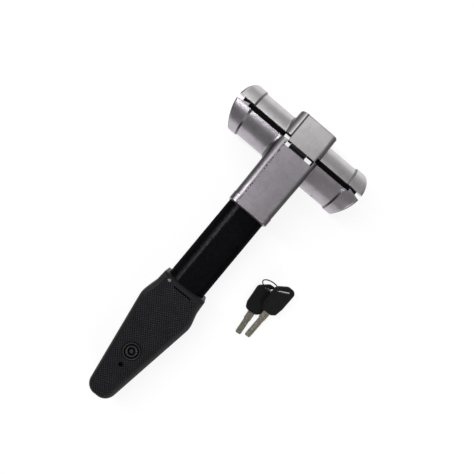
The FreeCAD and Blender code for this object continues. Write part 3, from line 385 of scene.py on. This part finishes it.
GRIP_TOP, GRIP_TIP = -172.6, -311.0
GRIP_FRONT = 38.0
GRIP_CORNERS = [(25.1, GRIP_TOP, 0.0), (26.0, -186.6, 24.0), (30.4, -202.4, 24.0), (13.1, GRIP_TIP, 12.6)]
RIM_ROUND = 6.0


def rounded_outline(corners, steps=14):
    """The right side of the grip from its top to its tip, with rounded corners."""
    points = [Vector((corners[0][0], corners[0][1]))]
    chain = [Vector(c[:2]) for c in corners] + [Vector((-corners[-1][0], corners[-1][1]))]
    for before, corner, after, radius in zip(chain, chain[1:], chain[2:], [c[2] for c in corners[1:]]):
        to_before, to_after = (before - corner).normalized(), (after - corner).normalized()
        half = to_before.angle(to_after) / 2
        reach = radius / math.tan(half)
        centre = corner + (to_before + to_after).normalized() * (radius / math.sin(half))
        start, end = corner + to_before * reach, corner + to_after * reach
        turn = (start - centre).angle_signed(end - centre)
        for i in range(steps + 1):
            offset = (start - centre).copy()
            angle = -turn * i / steps
            points.append(centre + Vector((offset.x * math.cos(angle) - offset.y * math.sin(angle),
                                           offset.x * math.sin(angle) + offset.y * math.cos(angle))))
    return points


right_side = rounded_outline(GRIP_CORNERS)
left_side = [Vector((-p.x, p.y)) for p in reversed(right_side)]
OUTLINE = np.array([tuple(p) for p in right_side + left_side])


def inside_depth(x, y):
    """Distance from each point to the grip's outline."""
    best = np.full(x.shape, 1e9)
    for a, b in zip(OUTLINE, np.roll(OUTLINE, -1, axis=0)):
        along = b - a
        length = along @ along
        if length < 1e-12:
            continue
        t = np.clip(((x - a[0]) * along[0] + (y - a[1]) * along[1]) / length, 0, 1)
        best = np.minimum(best, np.hypot(x - a[0] - t * along[0], y - a[1] - t * along[1]))
    return best


def grip_surface(depth):
    """Height of the front shell at a distance inside the outline."""
    inward = np.clip(RIM_ROUND - depth, 0, RIM_ROUND)
    return GRIP_FRONT - RIM_ROUND + np.sqrt(np.maximum(RIM_ROUND ** 2 - inward ** 2, 0))


# ---------------------------------------------------------------- knurled panel

PANEL_EDGE = 4.6                     # plain rim left round the knurling
WORN_LINE = (-18.3, 3.3, -219.8)     # flattened line across the knurling: left x, right x, y at its right end
WORN_SLOPE = 0.19


def half_width(y):
    """Half width of the knurled panel at y: where the outline is PANEL_EDGE away."""
    x = np.linspace(0, 30, 301)
    grid_x, grid_y = np.meshgrid(x, y)
    shallow = inside_depth(grid_x, grid_y) < PANEL_EDGE
    return x[np.maximum(shallow.argmax(1) - 1, 0)]


def knurl(x, y):
    """Height of the blunt diamonds between two families of straight grooves."""
    across = (x * KNURL_LEAN[0] + y * KNURL_LEAN[1]) / KNURL_PITCH
    along = (x * KNURL_LEAN[0] - y * KNURL_LEAN[1]) / KNURL_PITCH
    ridge = 1 - np.maximum(1 - triangle_wave(across), 1 - triangle_wave(along))
    return KNURL_DEPTH * np.clip(ridge * 1.5, 0, 0.9)


def make_knurl_panel():
    """A thin panel that lies on the front shell, fine enough to carry the ridges as geometry."""
    row_step, columns = 0.27, 210
    low, high = GRIP_TIP + PANEL_EDGE, GRIP_TOP - PANEL_EDGE - 0.2
    rows = int((high - low) / row_step)
    closer_at_tip = np.linspace(0, 1, rows) ** 1.06
    y = low + 0.01 + (high - low - 0.02) * closer_at_tip
    width = half_width(y)
    sweep = math.pi / 2 * 0.86                    # columns lie closer towards the sides
    share = np.sin(np.linspace(-1, 1, columns) * sweep) / math.sin(sweep)
    x = share[None, :] * width[:, None]
    y = np.repeat(y[:, None], columns, axis=1)
    x, y = x.ravel(), y.ravel()
    keep = np.ones(len(x), bool)
    for cx, cy, radius in ((*MEDALLION[:2], MEDALLION[2] + 0.35), (*SCREW[:2], SCREW[2] + 0.1)):
        away = np.hypot(x - cx, y - cy)
        near = np.abs(away - radius) < 0.2
        scale = np.where(near, radius / np.maximum(away, 1e-6), 1.0)
        x, y = cx + (x - cx) * scale, cy + (y - cy) * scale
        keep &= (away > radius - 0.2)
    depth = inside_depth(x, y)
    base = grip_surface(depth)
    rim = smoothstep(PANEL_EDGE, PANEL_EDGE + 0.9, depth)
    ring = smoothstep(0.2, 0.9, np.hypot(x - MEDALLION[0], y - MEDALLION[1]) - MEDALLION[2] - 0.3)
    hole = smoothstep(0.1, 0.7, np.hypot(x - SCREW[0], y - SCREW[1]) - SCREW[2])
    slot = smoothstep(0.5, 0.9, np.hypot(np.maximum(np.abs(x - SLOT[0]) - SLOT[3], 0), y - SLOT[1]))
    worn_left, worn_right, worn_y = WORN_LINE
    past_ends = 9 * ((x > worn_right) | (x < worn_left))
    unworn = smoothstep(0.1, 0.9, np.abs(y - worn_y - WORN_SLOPE * (x - worn_right)) + past_ends)
    top = base - 0.05 + (0.1 + knurl(x, y) * slot * (0.35 + 0.65 * unworn)) * rim * ring * hole
    faces = []
    for row in range(rows - 1):
        first = row * columns
        for column in range(columns - 1):
            a = first + column
            face = (a, a + 1, a + columns + 1, a + columns)
            if all(keep[i] for i in face):
                faces.append(face)
    upper = np.stack([x, y, top], axis=1)
    lower = np.stack([x, y, np.minimum(base, top) - 0.5], axis=1)
    panel = closed_sheet("grip_front_knurl", upper, lower, faces)
    paint(panel, "grip_knurl")
    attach(panel, "handle")
    return panel


make_knurl_panel()


# ---------------------------------------------------------------- medallion

RAYS = 16


def make_medallion():
    """A plain raised badge: a rolled rim round a field of straight rays and a domed centre."""
    cx, cy, radius = MEDALLION
    spokes, foot_height = 192, 36.0
    dome_foot, field_height, rim_foot, outside = 38.18, 37.95, 37.9, 37.6
    spans = (0.15, 2.2, 9), (2.5, 7.1, 18), (7.3, radius, 16)
    radii = np.concatenate([np.linspace(*span) for span in spans])
    angle = np.linspace(0, 2 * math.pi, spokes, endpoint=False)
    rr, aa = np.meshgrid(radii, angle, indexing="ij")
    dome = dome_foot + 0.3 * np.sqrt(np.clip(1 - (rr / 2.3) ** 2, 0, 1))
    between = smoothstep(2.5, 3.3, rr) * (1 - smoothstep(6.2, 6.9, rr))
    rays = 0.26 * triangle_wave(aa * RAYS / (2 * math.pi)) * between
    field = field_height + rays
    rim = rim_foot + 0.6 * np.sqrt(np.clip(1 - ((rr - 8.25) / 1.05) ** 2, 0, 1))
    z = np.where(rr < 2.35, dome, np.where(rr < 7.2, field, rim))
    z = np.where(rr > 9.3, outside, z)
    top = np.stack([cx + rr * np.cos(aa), cy + rr * np.sin(aa), z], axis=2).reshape(-1, 3)
    rows = len(radii)
    points = [(cx, cy, dome_foot + 0.3)] + [tuple(p) for p in top]
    faces = [(0, 1 + i, 1 + (i + 1) % spokes) for i in range(spokes)]
    for row in range(rows - 1):
        for i in range(spokes):
            a, b = 1 + row * spokes + i, 1 + row * spokes + (i + 1) % spokes
            faces.append((a, a + spokes, b + spokes, b))
    last = 1 + (rows - 1) * spokes
    foot = len(points)
    points += [(cx + radius * math.cos(t), cy + radius * math.sin(t), foot_height) for t in angle]
    faces += [(last + i, foot + i, foot + (i + 1) % spokes, last + (i + 1) % spokes) for i in range(spokes)]
    faces.append(tuple(foot + i for i in reversed(range(spokes))))
    badge = add_mesh("grip_badge", points, faces)
    paint(badge, "medallion_plastic")
    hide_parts("grip_medallion")
    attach(badge, "handle")


make_medallion()


# ---------------------------------------------------------------- grained bar cover

BAR_HALF, BAR_LOW, BAR_HIGH, BAR_CORNER = 21.2, 3.0, 35.0, 14.0
BAR_TOP, BAR_END = -78.5, -244.0
COVER_WALL = 1.2


def bar_section(inset, count_flat, count_round):
    """Points and outward normals round the bar's section, from the right end of its flat back."""
    half, low, high, corner = BAR_HALF - inset, BAR_LOW + inset, BAR_HIGH - inset, BAR_CORNER - inset
    places, normals = [], []
    sides = [((half - corner, low + corner), -90), ((half - corner, high - corner), 0),
             ((-half + corner, high - corner), 90), ((-half + corner, low + corner), 180)]
    for index, ((cx, cz), start) in enumerate(sides):
        for i in range(count_round + 1):
            angle = math.radians(start + 90 * i / count_round)
            places.append((cx + corner * math.cos(angle), cz + corner * math.sin(angle)))
            normals.append((math.cos(angle), math.sin(angle)))
        following = sides[(index + 1) % 4][0]
        angle = math.radians(start + 90)
        end = (cx + corner * math.cos(angle), cz + corner * math.sin(angle))
        goal = (following[0] + corner * math.cos(angle), following[1] + corner * math.sin(angle))
        length = math.hypot(goal[0] - end[0], goal[1] - end[1])
        pieces = max(2, int(length / count_flat))
        for i in range(1, pieces):
            share = i / pieces
            places.append((end[0] + (goal[0] - end[0]) * share, end[1] + (goal[1] - end[1]) * share))
            normals.append((math.cos(angle), math.sin(angle)))
    return np.array(places), np.array(normals)


def make_bar_cover():
    """The bar's black covering: pebbles with creases between them, all round."""
    step, pebbles_per_point, crease_depth = 0.42, 0.105, 0.15
    places, normals = bar_section(0, step, 30)
    around = len(places)
    y = np.arange(BAR_TOP, GRIP_TOP - 14, -step)
    y = np.append(y, BAR_END)
    along = len(y)
    px, pz = np.tile(places[:, 0], along), np.tile(places[:, 1], along)
    nx, nz = np.tile(normals[:, 0], along), np.tile(normals[:, 1], along)
    py = np.repeat(y, around)
    points = np.stack([px, py, pz], axis=1)
    rng = np.random.default_rng(7)
    seeds = points[rng.permutation(len(points))[:int(len(points) * pebbles_per_point)]]
    tree = kdtree.KDTree(len(seeds))
    for i, seed in enumerate(seeds):
        tree.insert(Vector(seed), i)
    tree.balance()
    crease = np.empty(len(points))
    for i, point in enumerate(points):
        (_, _, near), (_, _, second) = tree.find_n(Vector(point), 2)
        crease[i] = second - near
    pebble = smoothstep(0.0, 0.55, crease)
    sink = 0.02 + crease_depth * (1 - pebble)
    outer = points - np.stack([nx, np.zeros(len(nx)), nz], axis=1) * sink[:, None]
    inner = points - np.stack([nx, np.zeros(len(nx)), nz], axis=1) * (COVER_WALL - 0.05)
    count = len(points)
    faces = []
    for row in range(along - 1):
        for i in range(around):
            a, b = row * around + i, row * around + (i + 1) % around
            faces.append((a, b, b + around, a + around))
            faces.append((a + count + around, b + count + around, b + count, a + count))
    for i in range(around):
        j = (i + 1) % around
        faces.append((j, i, i + count, j + count))
        last = (along - 1) * around
        faces.append((last + i, last + j, last + j + count, last + i + count))
    cover = add_mesh("bar_grained_cover", np.vstack([outer, inner]), faces)
    paint(cover, "grained_cover")
    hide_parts("bar_sleeve")
    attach(cover, "handle")


make_bar_cover()


# ---------------------------------------------------------------- studio

def studio_floor():
    """White paper that is bright of its own, so that shadows on it stay faint."""
    mesh = bpy.data.meshes.new("floor")
    half = 3.0
    corners = [(-half, -half, 0), (half, -half, 0), (half, half, 0), (-half, half, 0)]
    mesh.from_pydata(corners, [], [(0, 1, 2, 3)])
    floor = bpy.data.objects.new("floor", mesh)
    bpy.context.scene.collection.objects.link(floor)
    shader = Shader("floor_paper", (0.25, 0.25, 0.25), 0.9, specular=0.05)
    shader.set("Emission Color", (1, 1, 1, 1))
    shader.set("Emission Strength", 0.84)
    tone = shader.mix(shader.noise(60.0, 2.0), (0.24, 0.24, 0.24), (0.26, 0.26, 0.26))
    shader.link("Base Color", tone)
    mesh.materials.append(shader.material)


def area_light(name, place_mm, target_mm, size_mm, power):
    data = bpy.data.lights.new(name, "AREA")
    data.shape = "RECTANGLE"
    data.size, data.size_y = size_mm[0] * MM, size_mm[1] * MM
    data.energy = power
    item = bpy.data.objects.new(name, data)
    bpy.context.scene.collection.objects.link(item)
    item.location = Vector(place_mm) * MM
    item.rotation_euler = (Vector(target_mm) - Vector(place_mm)).to_track_quat("-Z", "Y").to_euler()


DARK_SIDE = (-0.7, -0.7, 0.0)


def studio_world(strength):
    """A grey room, lighter at the horizon than overhead and darker on one side."""
    world = bpy.data.worlds.new("studio")
    bpy.context.scene.world = world
    world.use_nodes = True
    tree = world.node_tree
    background = tree.nodes["Background"]
    background.inputs["Strength"].default_value = strength
    coords = tree.nodes.new("ShaderNodeTexCoord")
    split = tree.nodes.new("ShaderNodeSeparateXYZ")
    tree.links.new(coords.outputs["Generated"], split.inputs["Vector"])
    ramp = tree.nodes.new("ShaderNodeValToRGB")
    tree.links.new(split.outputs["Z"], ramp.inputs["Fac"])
    levels = [(0.0, 0.5), (0.35, 0.45), (0.75, 0.28), (1.0, 0.24)]
    while len(ramp.color_ramp.elements) < len(levels):
        ramp.color_ramp.elements.new(0.5)
    for element, (position, level) in zip(ramp.color_ramp.elements, levels):
        element.position = position
        element.color = (level, level, level, 1)
    across = tree.nodes.new("ShaderNodeVectorMath")
    across.operation = "DOT_PRODUCT"
    across.inputs[1].default_value = DARK_SIDE
    tree.links.new(coords.outputs["Generated"], across.inputs[0])
    shade = tree.nodes.new("ShaderNodeMapRange")
    tree.links.new(across.outputs["Value"], shade.inputs["Value"])
    for socket, value in (("From Min", -0.2), ("From Max", 1.0), ("To Min", 1.0), ("To Max", 0.35)):
        shade.inputs[socket].default_value = value
    toned = tree.nodes.new("ShaderNodeMix")
    toned.data_type = "RGBA"
    toned.blend_type = "MULTIPLY"
    toned.inputs["Factor"].default_value = 1.0
    tree.links.new(ramp.outputs["Color"], toned.inputs[6])
    tree.links.new(shade.outputs["Result"], toned.inputs[7])
    tree.links.new(toned.outputs[2], background.inputs["Color"])


def camera():
    """Looks down on the bar from above, rolled so that the handle points down and left."""
    look_at = Vector((8.4, -103.1, 27.0))
    place = Vector((-9.05, -103.1, 426.6))
    roll = math.radians(39.75)
    up = Vector((-math.sin(roll), math.cos(roll), 0))
    back = (place - look_at).normalized()
    right = up.cross(back).normalized()
    up = back.cross(right)
    data = bpy.data.cameras.new("camera")
    data.lens = 30.38
    data.sensor_width = 36.0
    data.clip_start = 0.01
    item = bpy.data.objects.new("camera", data)
    bpy.context.scene.collection.objects.link(item)
    matrix = np.identity(4)
    matrix[:3, 0], matrix[:3, 1], matrix[:3, 2] = right, up, back
    matrix[:3, 3] = place * MM
    item.matrix_world = Matrix(matrix.tolist())
    bpy.context.scene.camera = item


studio_floor()
studio_world(1.0)
area_light("main_soft", (-600, 440, 640), (0, -60, 30), (1100, 1100), 2.9)
area_light("head_soft", (-40, 330, 800), (0, 0, 50), (300, 200), 0.24)
area_light("fill_soft", (620, -520, 420), (0, -120, 30), (600, 500), 1.7)
area_light("left_strip", (-450, -110, 690), (0, -110, 30), (12, 700), 2.4)
camera()
bpy.context.scene.view_settings.view_transform = "Standard"
